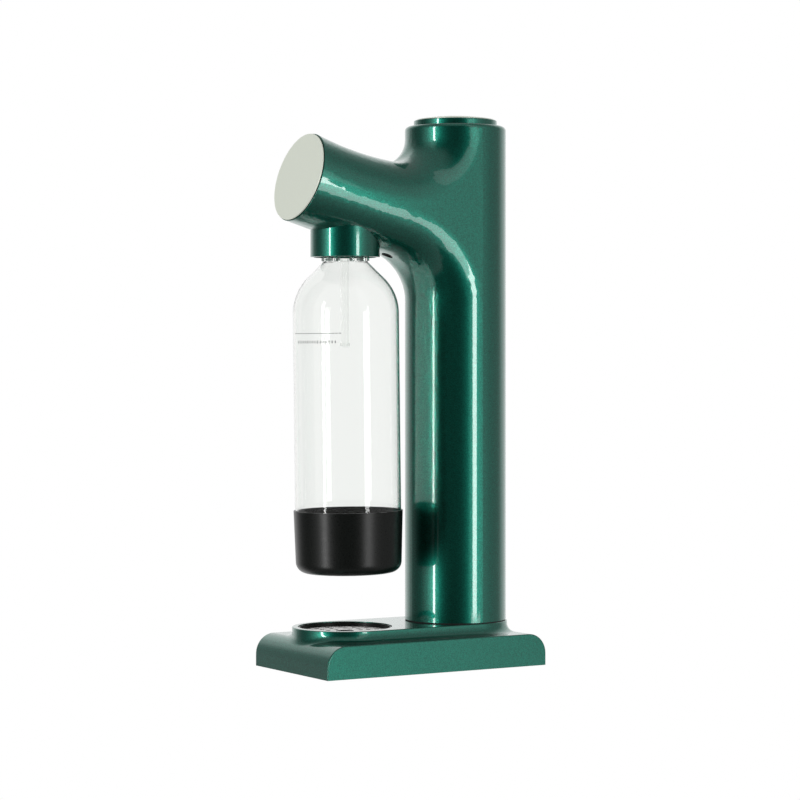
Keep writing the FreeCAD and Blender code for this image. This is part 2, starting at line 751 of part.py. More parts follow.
def mouth_rim(housing):
    """Edges round the arm's mouth."""
    def on_mouth(edge):
        return all(abs((vertex.Point - arm_end).dot(arm_direction)) < EPS for vertex in edge.Vertexes)
    return [edge for edge in housing.Edges if on_mouth(edge)]


def upper_blend():
    """Blend above the arm, limited so that it still ends below the column's rounded top."""
    return min(BLEND_UPPER, upper_blend_room(COLUMN_RADIUS, ARM_RADIUS, column_top - COLUMN_EDGE_ROUND))


def vent_centre():
    """Where the relief vent comes out, on the arm's underside behind the collar."""
    axis_point = arm_root + arm_direction * (vent_reach / math.cos(TILT))
    return axis_point - arm_up * ARM_RADIUS - arm_direction * (ARM_RADIUS * math.tan(TILT))


def column_housing():
    """Hollow column and arm in one piece, open at the foot, the arm's mouth, the button and the head."""
    upper = upper_blend()
    outer = branch(COLUMN_RADIUS, ARM_RADIUS, column_bottom, column_top, arm_length, upper, BLEND_LOWER)
    outer = outer.cut(top_edge_waste())
    outer = outer.makeFillet(ARM_EDGE_ROUND, mouth_rim(outer))
    cavity = branch(
        bore_radius, ARM_RADIUS - HOUSING_WALL, column_bottom - OVERCUT, cavity_top, arm_length + OVERCUT,
        upper + HOUSING_WALL, BLEND_LOWER + HOUSING_WALL,
    )
    vent = vent_centre()
    cuts = [
        cavity,
        disc(button_hole_radius, cavity_top - OVERCUT, column_top + OVERCUT, 0, column_y),
        disc(COLLAR_RADIUS + COLLAR_SLOT, collar_bottom, nozzle_arm_z, 0, nozzle_y),
        rod_between(vent - arm_up * VENT_DEPTH, vent + arm_up * VENT_DEPTH, VENT_RADIUS),
    ]
    return cut_all(outer, cuts)


def column_gasket():
    """Thin rubber ring between the column's edge and the plinth."""
    return tube(COLUMN_RADIUS - GASKET_INSET, bore_radius, plinth_top, column_bottom, 0, column_y)


def column_foot_ring():
    """Steel ring fixed inside the column's foot, threaded for the bolts that come up through the base."""
    ring = tube(ring_radius, ring_bore, plinth_top, plinth_top + RING_HEIGHT, 0, column_y)
    depth = COLUMN_BOLT_LENGTH - BASE_WALL + HOLE_RUNOUT
    holes = [
        disc(COLUMN_BOLT_RADIUS, plinth_top - OVERCUT, plinth_top + depth, x, y)
        for x, y in polar(bolt_circle, COLUMN_BOLTS, 0, column_y, COLUMN_BOLT_PHASE)
    ]
    return cut_all(ring, holes)


def column_bolts():
    """Cap-head bolts that pull the column's ring down on the base."""
    seat = plinth_top - BASE_WALL
    bolts = []
    for x, y in polar(bolt_circle, COLUMN_BOLTS, 0, column_y, COLUMN_BOLT_PHASE):
        head = disc(COLUMN_BOLT_HEAD, seat - COLUMN_BOLT_HEAD_HEIGHT, seat, x, y)
        shank = disc(COLUMN_BOLT_RADIUS - RUNNING_GAP, seat - OVERCUT, seat + COLUMN_BOLT_LENGTH, x, y)
        bolts.append(head.fuse(shank))
    return Part.makeCompound(bolts)


def cylinder_guide():
    """Plastic bush in the gas bay that centres the cylinder as it is pushed in from below."""
    low = plinth_top - GUIDE_SKIRT
    high = plinth_top + GUIDE_FLANGE_HEIGHT
    bush = disc(guide_radius, low, high, 0, column_y)
    bush = bush.fuse(disc(guide_flange_radius, plinth_top, high, 0, column_y))
    return bush.cut(disc(guide_bore, low - OVERCUT, high + OVERCUT, 0, column_y))


# --- Gas cylinder and valve -------------------------------------------------------------------------
def cylinder_outline(radius, foot_round, neck, low, high, neck_height):
    """Half outline of a bottle shape with a flat foot, a round shoulder and a straight neck."""
    shoulder = high - neck_height - (radius - neck)
    foot_centre = (radius - foot_round, low + foot_round)
    shoulder_centre = (neck, shoulder)
    return [
        line((0, low), (radius - foot_round, low)),
        quarter((radius - foot_round, low), (radius, low + foot_round), foot_centre, foot_round),
        line((radius, low + foot_round), (radius, shoulder)),
        quarter((radius, shoulder), (neck, high - neck_height), shoulder_centre, radius - neck),
        line((neck, high - neck_height), (neck, high)),
        line((neck, high), (0, high)),
        line((0, high), (0, low)),
    ]


def gas_cylinder():
    """Aluminium cylinder for carbon dioxide, with its neck bored for the valve."""
    outline = cylinder_outline(
        cylinder_radius, CYLINDER_FOOT_ROUND, CYLINDER_NECK_RADIUS,
        cylinder_bottom, cylinder_top, CYLINDER_NECK_HEIGHT,
    )
    wall = CYLINDER_WALL
    inner = cylinder_outline(
        cylinder_radius - wall, CYLINDER_FOOT_ROUND - wall, CYLINDER_MOUTH_RADIUS,
        cylinder_bottom + wall, cylinder_top + OVERCUT, CYLINDER_NECK_HEIGHT + wall,
    )
    return revolved(Part.Wire(outline), column_y).cut(revolved(Part.Wire(inner), column_y))


def cylinder_valve():
    """Brass valve screwed into the cylinder's neck, with a nose that enters the valve block."""
    plug_low = cylinder_top - VALVE_PLUG_LENGTH
    plug = disc(CYLINDER_MOUTH_RADIUS - RUNNING_GAP, plug_low, cylinder_top, 0, column_y)
    body = disc(VALVE_BODY_RADIUS, cylinder_top, valve_body_top, 0, column_y)
    nose = disc(VALVE_NOSE_RADIUS, valve_body_top, nose_top, 0, column_y)
    valve = plug.fuse(body).fuse(nose).removeSplitter()
    pin_low = pin_top - PIN_LENGTH - BUTTON_TRAVEL - HOLE_RUNOUT
    return valve.cut(disc(PIN_RADIUS + RUNNING_GAP, pin_low, nose_top + OVERCUT, 0, column_y))


def valve_pin():
    """Brass pin that opens the cylinder's valve when it is pushed down."""
    return disc(PIN_RADIUS, pin_top - PIN_LENGTH, pin_top, 0, column_y)


def cylinder_seal():
    """Washer at the end of the valve block's socket."""
    return tube(VALVE_NOSE_RADIUS - RUNNING_GAP, VALVE_SEAL_BORE, nose_top, socket_top, 0, column_y)


def valve_block():
    """Brass block with the cylinder's socket below, a gas port at the front and a gland for the rod."""
    block = disc(BLOCK_RADIUS, block_bottom, bracket_bottom, 0, column_y)
    cuts = [
        disc(VALVE_NOSE_RADIUS + RUNNING_GAP, block_bottom - OVERCUT, socket_top, 0, column_y),
        disc(CHAMBER_RADIUS, socket_top - OVERCUT, chamber_top, 0, column_y),
        disc(ROD_RADIUS + RUNNING_GAP, chamber_top - OVERCUT, bracket_bottom + OVERCUT, 0, column_y),
        rod_between(
            Vector(0, column_y - BLOCK_RADIUS - OVERCUT, port_z), Vector(0, column_y, port_z), PORT_RADIUS
        ),
    ]
    for x, y in polar(BLOCK_SCREW_CIRCLE, 2, 0, column_y):
        cuts.append(disc(BLOCK_SCREW_RADIUS, bracket_bottom - GUIDE_SCREW_LENGTH, bracket_top, x, y))
    return cut_all(block, cuts)


def valve_bracket():
    """Round steel plate across the column that carries the valve block and the button's sleeve."""
    plate = disc(ring_radius, bracket_bottom, bracket_top, 0, column_y)
    low = bracket_bottom - OVERCUT
    high = bracket_top + OVERCUT
    cuts = [disc(ROD_RADIUS + BUTTON_GAP, low, high, 0, column_y)]
    for x, y in polar(BLOCK_SCREW_CIRCLE, 2, 0, column_y):
        cuts.append(disc(BLOCK_SCREW_RADIUS, low, high, x, y))
    for x, y in guide_screw_places():
        cuts.append(disc(GUIDE_SCREW_RADIUS, low, high, x, y))
    return cut_all(plate, cuts)


def guide_screw_places():
    """Screws through the bracket into the wall of the button's sleeve."""
    circle = (ring_radius + flange_radius + BLOCK_SKIRT_GAP) / 2
    return polar(circle, GUIDE_SCREWS, 0, column_y, GUIDE_SCREW_PHASE)


def bracket_screws():
    """Screws that join the bracket to the sleeve above it and to the valve block below it."""
    fit = RUNNING_GAP
    screws = []
    for x, y in guide_screw_places():
        head = disc(GUIDE_SCREW_HEAD, bracket_bottom - GUIDE_SCREW_HEAD, bracket_bottom, x, y)
        high = bracket_top + GUIDE_SCREW_LENGTH - HOLE_RUNOUT
        screws.append(head.fuse(disc(GUIDE_SCREW_RADIUS - fit, bracket_bottom - OVERCUT, high, x, y)))
    for x, y in polar(BLOCK_SCREW_CIRCLE, 2, 0, column_y):
        head = disc(2 * BLOCK_SCREW_RADIUS, bracket_top, bracket_top + BLOCK_SCREW_RADIUS, x, y)
        low = bracket_bottom - GUIDE_SCREW_LENGTH + HOLE_RUNOUT
        screws.append(head.fuse(disc(BLOCK_SCREW_RADIUS - fit, low, bracket_top + OVERCUT, x, y)))
    return Part.makeCompound(screws)


# --- Push button ------------------------------------------------------------------------------------
def button_sleeve():
    """Bearing sleeve under the column's shoulder that the button slides in."""
    sleeve = disc(ring_radius, bracket_top, cavity_top, 0, column_y)
    cuts = [
        disc(button_radius + RUNNING_GAP, bracket_top - OVERCUT, cavity_top + OVERCUT, 0, column_y),
        disc(flange_radius + BLOCK_SKIRT_GAP, bracket_top - OVERCUT, sleeve_step, 0, column_y),
    ]
    for x, y in guide_screw_places():
        cuts.append(disc(GUIDE_SCREW_RADIUS, bracket_top - OVERCUT, bracket_top + GUIDE_SCREW_LENGTH, x, y))
    return cut_all(sleeve, cuts)


def button_cap():
    """Round push button: a cup with a retaining flange below, a disc seat above and a boss for the rod."""
    cap = disc(button_radius, button_bottom, button_top, 0, column_y)
    cap = cap.makeFillet(BUTTON_EDGE_ROUND, edges_where(cap, lambda box: box.ZMin > button_top - EPS))
    cap = cap.fuse(disc(flange_radius, button_bottom, flange_top, 0, column_y))
    cap = cap.cut(disc(button_radius - BUTTON_WALL, button_bottom - OVERCUT, button_ceiling, 0, column_y))
    cap = cap.cut(disc(disc_radius + BUTTON_DISC_EDGE / 2, button_top - BUTTON_DISC_SEAT, FAR, 0, column_y))
    boss_low = button_ceiling - BUTTON_BOSS_HEIGHT
    boss = tube(BUTTON_BOSS_RADIUS, ROD_RADIUS, boss_low, button_ceiling, 0, column_y)
    return cap.fuse(boss)


def button_disc():
    """Bright disc let into the top of the button, slightly crowned."""
    low = button_top - BUTTON_DISC_SEAT
    edge = button_top + BUTTON_DISC_EDGE
    crown = edge + BUTTON_DISC_CROWN
    sphere_radius = (disc_radius ** 2 + BUTTON_DISC_CROWN ** 2) / (2 * BUTTON_DISC_CROWN)
    half = disc_radius / 2
    half_rise = math.sqrt(sphere_radius ** 2 - half ** 2) - (sphere_radius - BUTTON_DISC_CROWN)
    outline = [
        line((0, low), (disc_radius, low)),
        line((disc_radius, low), (disc_radius, edge)),
        arc((disc_radius, edge), (half, edge + half_rise), (0, crown)),
        line((0, crown), (0, low)),
    ]
    return revolved(Part.Wire(outline), column_y)


def push_rod():
    """Steel rod from the button down through the valve block's gland to the cylinder's pin."""
    return disc(ROD_RADIUS, pin_top, button_ceiling, 0, column_y)


def wire_section(radius, sides):
    """Many-sided outline of a spring's wire, in the XZ plane at the start of the coil."""
    places = polar(radius, sides, SPRING_RADIUS, 0, 180.0 / sides)
    corners = [Vector(across, 0, up) for across, up in places]
    return Part.Wire(runs(corners + corners[:1]))


def return_spring():
    """Coil spring between the bracket and the button."""
    low = bracket_top + SPRING_WIRE / 2
    height = button_ceiling - bracket_top - SPRING_WIRE
    helix = Part.makeHelix(height / SPRING_TURNS, height, SPRING_RADIUS)
    section = wire_section(SPRING_WIRE / 2, SPRING_SIDES)
    spring = Part.Wire(helix).makePipeShell([section], True, True)
    spring.translate(Vector(0, column_y, low))
    return spring


# --- Carbonating head -------------------------------------------------------------------------------
def bottle_collar():
    """Painted tube that comes out of the arm's underside and surrounds the bottle's neck."""
    collar = disc(COLLAR_RADIUS, collar_bottom, collar_top, 0, nozzle_y)
    collar = collar.makeFillet(
        COLLAR_EDGE_ROUND, edges_where(collar, lambda box: box.ZMax < collar_bottom + EPS)
    )
    shelf = collar_top - COLLAR_SHELF_HEIGHT
    cuts = [
        disc(collar_bore, collar_bottom - OVERCUT, shelf, 0, nozzle_y),
        disc(COLLAR_SHELF_BORE, shelf - OVERCUT, collar_top + OVERCUT, 0, nozzle_y),
    ]
    for x, y in polar(HEAD_SCREW_CIRCLE, HEAD_SCREWS, 0, nozzle_y, HEAD_SCREW_PHASE):
        cuts.append(disc(HEAD_SCREW_RADIUS, shelf - OVERCUT, collar_top + OVERCUT, x, y))
    return cut_all(collar, cuts)


def thread_ring():
    """Moulded ring inside the collar that the bottle's neck screws into."""
    low = collar_bottom + THREAD_RING_RECESS
    bore = BOTTLE_NECK_RADIUS + BLOCK_SKIRT_GAP
    return tube(collar_bore - RING_GAP, bore, low, low + THREAD_RING_HEIGHT, 0, nozzle_y)


def head_block():
    """Moulded head that closes the bottle's mouth and holds the nozzle's stem."""
    block = disc(HEAD_SPIGOT_RADIUS, seal_top, head_flange_top, 0, nozzle_y)
    block = block.fuse(disc(HEAD_FLANGE_RADIUS, collar_top, head_flange_top, 0, nozzle_y))
    block = block.fuse(disc(HEAD_CROWN_RADIUS, collar_top, head_top, 0, nozzle_y)).removeSplitter()
    cuts = [disc(STEM_RADIUS + RUNNING_GAP, seal_top - OVERCUT, head_top + OVERCUT, 0, nozzle_y)]
    for x, y in polar(HEAD_SCREW_CIRCLE, HEAD_SCREWS, 0, nozzle_y, HEAD_SCREW_PHASE):
        cuts.append(disc(HEAD_SCREW_RADIUS, collar_top - OVERCUT, head_flange_top + OVERCUT, x, y))
    return cut_all(block, cuts)


def head_screws():
    """Screws that hold the head to the shelf inside the collar."""
    low = head_flange_top - HEAD_SCREW_LENGTH
    screws = []
    for x, y in polar(HEAD_SCREW_CIRCLE, HEAD_SCREWS, 0, nozzle_y, HEAD_SCREW_PHASE):
        head = disc(HEAD_SCREW_HEAD, head_flange_top, head_flange_top + HEAD_SCREW_RADIUS, x, y)
        screws.append(head.fuse(disc(HEAD_SCREW_RADIUS - RUNNING_GAP, low, head_flange_top + OVERCUT, x, y)))
    return Part.makeCompound(screws)


def neck_seal():
    """Rubber washer that the bottle's mouth is pressed against."""
    return tube(HEAD_SPIGOT_RADIUS - RING_GAP, SEAL_BORE, seal_bottom, seal_top, 0, nozzle_y)


def nozzle_stem():
    """Brass stem through the head, drilled for the gas and socketed for the carbonating tube."""
    stem = tube(STEM_RADIUS, STEM_BORE, stem_bottom, head_top, 0, nozzle_y)
    socket = disc(TUBE_RADIUS + RUNNING_GAP, stem_bottom - OVERCUT, stem_bottom + TUBE_SOCKET, 0, nozzle_y)
    return stem.cut(socket)


def carbonating_tube():
    """Clear tube that takes the gas down into the water."""
    return tube(TUBE_RADIUS, TUBE_RADIUS - TUBE_WALL, tube_bottom, stem_bottom + TUBE_SOCKET, 0, nozzle_y)


def nozzle_tip():
    """Small cap with a fine hole on the end of the carbonating tube."""
    radius = TUBE_RADIUS + TIP_WALL
    low = tube_bottom + TIP_SOCKET - TIP_HEIGHT
    tip = disc(radius, low, tube_bottom + TIP_SOCKET, 0, nozzle_y)
    socket_high = tube_bottom + TIP_SOCKET + OVERCUT
    tip = tip.cut(disc(TUBE_RADIUS + RUNNING_GAP, tube_bottom, socket_high, 0, nozzle_y))
    return tip.cut(disc(TIP_ORIFICE, low - OVERCUT, tube_bottom + OVERCUT, 0, nozzle_y))


# --- Gas line and relief valve ----------------------------------------------------------------------
def valve_fitting():
    """Barbed brass fitting in the front port of the valve block."""
    start = Vector(0, column_y - BLOCK_RADIUS, port_z)
    forward = Vector(0, -1, 0)
    body = rod_between(start, start + forward * FITTING_LENGTH, FITTING_RADIUS)
    nib = rod_between(start + forward * FITTING_LENGTH, hose_start() + forward * BARB_LENGTH, BARB_RADIUS)
    return body.fuse(nib).removeSplitter()


def hose_start():
    """Rear end of the hose, against the valve's fitting."""
    return Vector(0, column_y - BLOCK_RADIUS - FITTING_LENGTH, port_z)


def hose_end():
    """Front end of the hose, against the head's elbow."""
    return Vector(0, nozzle_y + ELBOW_LENGTH, elbow_z)


def head_elbow():
    """Brass elbow that turns the gas down into the nozzle's stem."""
    corner = Vector(0, nozzle_y, elbow_z)
    upright = disc(FITTING_RADIUS, head_top, elbow_z, 0, nozzle_y)
    level = rod_between(corner, hose_end(), FITTING_RADIUS)
    knuckle = Part.makeSphere(FITTING_RADIUS, corner)
    nib = rod_between(hose_end(), hose_end() + Vector(0, BARB_LENGTH, 0), BARB_RADIUS)
    return upright.fuse([level, knuckle, nib]).removeSplitter()


def bent_path(points):
    """Straight runs joined by tangent arcs, each as large as its two runs allow."""
    edges = []
    start = points[0]
    for before, corner, after in zip(points, points[1:], points[2:]):
        back = before - corner
        on = after - corner
        setback = HOSE_BEND_SHARE * min(back.Length, on.Length)
        bend = tangent_arc(corner, back.normalize(), on.normalize(), setback)
        edges.append(Part.LineSegment(start, bend.StartPoint).toShape())
        edges.append(bend.toShape())
        start = bend.EndPoint
    edges.append(Part.LineSegment(start, points[-1]).toShape())
    return Part.Wire(edges)


def gas_hose():
    """Flexible hose inside the arm, from the valve block forward to the head."""
    start = hose_start()
    end = hose_end()
    points = [start, start - Vector(0, HOSE_LEAD, 0), end + Vector(0, HOSE_LEAD, 0), end]
    path = bent_path(points)
    direction = points[1] - points[0]
    walls = []
    for radius in (HOSE_RADIUS, HOSE_BORE):
        profile = Part.Wire([Part.makeCircle(radius, start, direction)])
        walls.append(path.makePipeShell([profile], True, False))
    return walls[0].cut(walls[1])


def relief_valve():
    """Pressure relief valve behind the head, blowing off through the vent under the arm."""
    seat = vent_centre() + arm_up * (VENT_DEPTH + VENT_GAP)
    barrel = rod_between(seat, seat + arm_up * RELIEF_LENGTH, RELIEF_RADIUS)
    pipe_z = (head_flange_top + head_top) / 2
    climb = (pipe_z - seat.z) / arm_up.z
    meeting = seat + arm_up * climb
    start = Vector(0, nozzle_y + HEAD_CROWN_RADIUS, pipe_z)
    pipe = rod_between(start, meeting, RELIEF_PIPE_RADIUS)
    return barrel.fuse(pipe).removeSplitter()


def vent_grommet():
    """Black grommet in the wall of the arm where the relief valve blows off."""
    centre = vent_centre()
    low = centre - arm_up * VENT_STAND
    high = centre + arm_up * VENT_DEPTH
    grommet = rod_between(low, high, VENT_RADIUS - VENT_GAP)
    return grommet.cut(rod_between(low - arm_up, high + arm_up, VENT_BORE))


# --- Arm end ----------------------------------------------------------------------------------------
def along_arm(depth):
    """Point on the arm's axis, measured back from its mouth."""
    return arm_end - arm_direction * depth


def arm_plug():
    """Moulded plug pressed into the arm's mouth, with a thin flange that shows as a dark line."""
    radius = ARM_RADIUS - HOUSING_WALL - PLUG_GAP
    plug = rod_between(along_arm(PLUG_DEPTH), along_arm(0), radius)
    flange = rod_between(along_arm(0), along_arm(-PLUG_FLANGE), ARM_RADIUS - PLUG_FLANGE_INSET)
    plug = plug.fuse(flange).removeSplitter()
    return plug.cut(rod_between(along_arm(PLUG_DEPTH + OVERCUT), along_arm(PLUG_WALL), radius - PLUG_WALL))


def arm_face():
    """Bright metal disc on the plug that closes the arm's mouth."""
    back = along_arm(-PLUG_FLANGE)
    return rod_between(back, back + arm_direction * FACE_THICKNESS, face_radius)


# --- Bottle -----------------------------------------------------------------------------------------
def bottle_outline(inset, mouth_radius, top):
    """Half outline of the bottle's skin, moved in by a wall.

    The shoulder is an arc that turns up to the slope of a cone, and the cone runs in to the throat.
    """
    slope = math.radians(BOTTLE_SHOULDER_SLOPE)
    throat_drop = inset * math.tan(slope / 2)
    radius = BOTTLE_RADIUS - inset
    turn = BOTTLE_SHOULDER_RADIUS - inset
    throat = (BOTTLE_THROAT_RADIUS - inset, bottle_flange_bottom - throat_drop)
    cone_foot_radius = radius - turn * (1 - math.cos(slope))
    cone_foot = (cone_foot_radius, throat[1] - (cone_foot_radius - throat[0]) / math.tan(slope))
    shoulder = cone_foot[1] - turn * math.sin(slope)
    half_slope = slope / 2
    shoulder_mid = (radius - turn * (1 - math.cos(half_slope)), shoulder + turn * math.sin(half_slope))
    low = bottle_bottom + SLEEVE_FLOOR + inset
    foot_radius = radius - BOTTLE_FOOT_FLAT
    foot_height = BOTTLE_FOOT_HEIGHT - inset
    foot_mid = (
        BOTTLE_FOOT_FLAT + foot_radius * HALF_TURN_SINE,
        low + foot_height * (1 - HALF_TURN_SINE),
    )
    return [
        line((0, low), (BOTTLE_FOOT_FLAT, low)),
        arc((BOTTLE_FOOT_FLAT, low), foot_mid, (radius, low + foot_height)),
        line((radius, low + foot_height), (radius, shoulder)),
        arc((radius, shoulder), shoulder_mid, cone_foot),
        line(cone_foot, throat),
        line(throat, (mouth_radius, throat[1])),
        line((mouth_radius, throat[1]), (mouth_radius, top)),
        line((mouth_radius, top), (0, top)),
        line((0, top), (0, low)),
    ]


def leaned(shape):
    """The bottle hangs from its thread a little out of true, its foot nearer the column."""
    shape.rotate(Vector(0, nozzle_y, mouth_z), Vector(1, 0, 0), BOTTLE_LEAN)
    return shape


def bottle():
    """Clear blown bottle with a round foot, a domed shoulder and a thick threaded mouth."""
    skin = revolved(Part.Wire(bottle_outline(0, BOTTLE_NECK_RADIUS, mouth_z)), nozzle_y)
    flange = disc(BOTTLE_FLANGE_RADIUS, bottle_flange_bottom, bottle_flange_top, 0, nozzle_y)
    inside = bottle_outline(BOTTLE_WALL, BOTTLE_NECK_RADIUS - BOTTLE_MOUTH_WALL, mouth_z + OVERCUT)
    return leaned(skin.fuse(flange).cut(revolved(Part.Wire(inside), nozzle_y)))


def bottle_sleeve():
    """Black cup that the bottle's foot is pushed into, so that it can stand."""
    low = bottle_bottom
    outer = BOTTLE_RADIUS + SLEEVE_GAP + SLEEVE_WALL
    foot = outer - SLEEVE_TAPER
    corner = SLEEVE_FOOT_ROUND
    outline = [
        line((0, low), (foot - corner, low)),
        quarter((foot - corner, low), (foot, low + corner), (foot - corner, low + corner), corner),
        line((foot, low + corner), (outer, sleeve_top)),
        line((outer, sleeve_top), (0, sleeve_top)),
        line((0, sleeve_top), (0, low)),
    ]
    cup = revolved(Part.Wire(outline), nozzle_y)
    return leaned(cup.cut(bottle_blank()))


def bottle_blank():
    """Room for the bottle's foot inside the sleeve, one fitting gap larger than the bottle."""
    outline = bottle_outline(-SLEEVE_GAP, BOTTLE_NECK_RADIUS, mouth_z)
    return revolved(Part.Wire(outline), nozzle_y)


# --- Assembly ---------------------------------------------------------------------------------------
PARTS = [
    base_shell, base_plate, rubber_feet, base_screws, drip_cup, drip_grate,
    column_housing, column_gasket, column_foot_ring, column_bolts, cylinder_guide,
    gas_cylinder, cylinder_valve, valve_pin, cylinder_seal, valve_block, valve_bracket, bracket_screws,
    button_sleeve, button_cap, button_disc, push_rod, return_spring,
    bottle_collar, thread_ring, head_block, head_screws, neck_seal, nozzle_stem, carbonating_tube,
    nozzle_tip, valve_fitting, head_elbow, gas_hose, relief_valve, vent_grommet,
    arm_plug, arm_face, bottle, bottle_sleeve,
]

os.makedirs("parts", exist_ok=True)
for make in PARTS:
    shape = make()
    shape.exportStep("parts/" + make.__name__ + ".step")
    print(make.__name__, shape.isValid(), len(shape.Solids), round(shape.Volume, 1))
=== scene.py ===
import math

import bmesh
import bpy
from mathutils import Matrix, Vector


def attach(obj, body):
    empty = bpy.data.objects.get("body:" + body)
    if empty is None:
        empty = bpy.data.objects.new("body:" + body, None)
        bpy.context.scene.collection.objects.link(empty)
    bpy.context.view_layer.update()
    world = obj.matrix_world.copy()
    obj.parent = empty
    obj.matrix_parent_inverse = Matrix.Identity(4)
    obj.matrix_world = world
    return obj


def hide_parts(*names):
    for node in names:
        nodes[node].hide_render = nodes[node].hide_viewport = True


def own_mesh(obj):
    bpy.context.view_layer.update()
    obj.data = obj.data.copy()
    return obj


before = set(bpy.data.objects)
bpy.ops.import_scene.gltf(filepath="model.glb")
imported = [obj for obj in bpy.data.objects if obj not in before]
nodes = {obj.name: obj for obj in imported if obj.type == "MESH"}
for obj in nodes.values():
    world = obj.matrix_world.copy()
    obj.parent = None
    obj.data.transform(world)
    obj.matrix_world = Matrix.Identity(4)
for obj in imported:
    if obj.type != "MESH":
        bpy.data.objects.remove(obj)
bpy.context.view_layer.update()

# --- Column and arm: one thin-walled casting, open at the foot, the mouth and the collar ------------
# Cast and turned housing, ground smooth and sprayed with dark green metallic lacquer under clear coat.
# The column, the arm and the blends between them are one skin, so its surface runs on without a joint.
# The base, the bottle's collar and the button wear the same lacquer.
weld_reach = 0.000005
sharp_edge = 28.0


def smooth_over(piece):
    """Rounds the shading of a turned or cast surface, and keeps its real edges sharp."""
    piece.data.polygons.foreach_set("use_smooth", [True] * len(piece.data.polygons))
    weld = piece.modifiers.new("weld", "WELD")
    weld.merge_threshold = weld_reach
    split = piece.modifiers.new("edges", "EDGE_SPLIT")
    split.split_angle = math.radians(sharp_edge)
    level = piece.modifiers.new("flats", "WEIGHTED_NORMAL")
    level.mode = "FACE_AREA_WITH_ANGLE"
    level.weight = 50
    level.keep_sharp = True


def finish_with(piece, material):
    """Gives a whole piece one finish."""
    piece.data.materials.clear()
    piece.data.materials.append(material)
    piece.data.polygons.foreach_set("material_index", [0] * len(piece.data.polygons))


def new_finish(name):
    """A fresh material with its main shader, and the tools to wire it."""
    finish = bpy.data.materials.new(name)
    finish.use_nodes = True
    tree = finish.node_tree
    shader = tree.nodes["Principled BSDF"]
    return finish, tree, shader


def grain(tree, scale, detail, stretch=(1, 1, 1)):
    """Fine noise fixed to the piece, in millimetre-sized cells when scale is 1000."""
    place = tree.nodes.new("ShaderNodeTexCoord")
    spread = tree.nodes.new("ShaderNodeMapping")
    spread.inputs["Scale"].default_value = stretch
    noise = tree.nodes.new("ShaderNodeTexNoise")
    noise.inputs["Scale"].default_value = scale
    noise.inputs["Detail"].default_value = detail
    tree.links.new(place.outputs["Object"], spread.inputs["Vector"])
    tree.links.new(spread.outputs["Vector"], noise.inputs["Vector"])
    return noise


grain_low = 0.3
grain_high = 0.7


def span(tree, source, to_low, to_high, low=grain_low, high=grain_high):
    """Stretches a grain to the range of values that a socket needs."""
    fit = tree.nodes.new("ShaderNodeMapRange")
    fit.inputs["From Min"].default_value = low
    fit.inputs["From Max"].default_value = high
    fit.inputs["To Min"].default_value = to_low
    fit.inputs["To Max"].default_value = to_high
    tree.links.new(source, fit.inputs["Value"])
    return fit.outputs["Result"]


def raise_grain(tree, shader, source, height, strength):
    """Lets a grain lift the surface by a real height in metres."""
    bump = tree.nodes.new("ShaderNodeBump")
    bump.inputs["Strength"].default_value = strength
    bump.inputs["Distance"].default_value = height
    tree.links.new(source, bump.inputs["Height"])
    tree.links.new(bump.outputs["Normal"], shader.inputs["Normal"])


dark_below = 0.38
light_above = 0.62


def tint_between(tree, source, dark, light):
    """Colour that wanders between two near tints with a grain."""
    ramp = tree.nodes.new("ShaderNodeValToRGB")
    ramp.color_ramp.elements[0].position = dark_below
    ramp.color_ramp.elements[0].color = dark
    ramp.color_ramp.elements[1].position = light_above
    ramp.color_ramp.elements[1].color = light
    tree.links.new(source, ramp.inputs["Fac"])
    return ramp.outputs["Color"]


def green_lacquer():
    """Dark green metallic lacquer: fine aluminium flake in green, under a glossy clear coat."""
    finish, tree, shader = new_finish("green_lacquer")
    flake = grain(tree, 1500.0, 1.0)
    tree.links.new(
        tint_between(tree, flake.outputs["Fac"], (0.003, 0.118, 0.082, 1), (0.010, 0.212, 0.150, 1)),
        shader.inputs["Base Color"],
    )
    tree.links.new(span(tree, flake.outputs["Fac"], 0.38, 0.33), shader.inputs["Roughness"])
    shader.inputs["Metallic"].default_value = 0.95
    shader.inputs["Coat Weight"].default_value = 1.0
    shader.inputs["Coat Roughness"].default_value = 0.03
    shader.inputs["Coat IOR"].default_value = 1.63
    raise_grain(tree, shader, flake.outputs["Fac"], 0.00002, 0.25)
    return finish


lacquer = green_lacquer()
for name in ("column_housing", "base_shell", "bottle_collar", "button_cap"):
    smooth_over(nodes[name])
    finish_with(nodes[name], lacquer)

# --- Light metal discs: the arm's face and the button's top -----------------------------------------
# Turned aluminium discs, bead blasted to an even satin and anodised in a warm light grey. One closes
# the arm's mouth in front of its plug, and the other lies in a seat in the button.


def satin_disc():
    """Bead-blasted aluminium, anodised warm grey."""
    finish, tree, shader = new_finish("satin_disc")
    blast = grain(tree, 3200.0, 2.0)
    tree.links.new(
        tint_between(tree, blast.outputs["Fac"], (0.845, 0.89, 0.785, 1), (0.885, 0.93, 0.825, 1)),
        shader.inputs["Base Color"],
    )
    tree.links.new(span(tree, blast.outputs["Fac"], 0.50, 0.58), shader.inputs["Roughness"])
    shader.inputs["Metallic"].default_value = 0.45
    raise_grain(tree, shader, blast.outputs["Fac"], 0.00001, 0.3)
    return finish


disc_metal = satin_disc()
for name in ("arm_face", "button_disc"):
    smooth_over(nodes[name])
    finish_with(nodes[name], disc_metal)

# --- Drip well and the black mouldings --------------------------------------------------------------
# The grate is pressed from bright stainless sheet and lies on the shelf of the black moulded cup. The
# bottle's foot cup, the base's cover, and the guides, the head and the plug are the same black plastic.


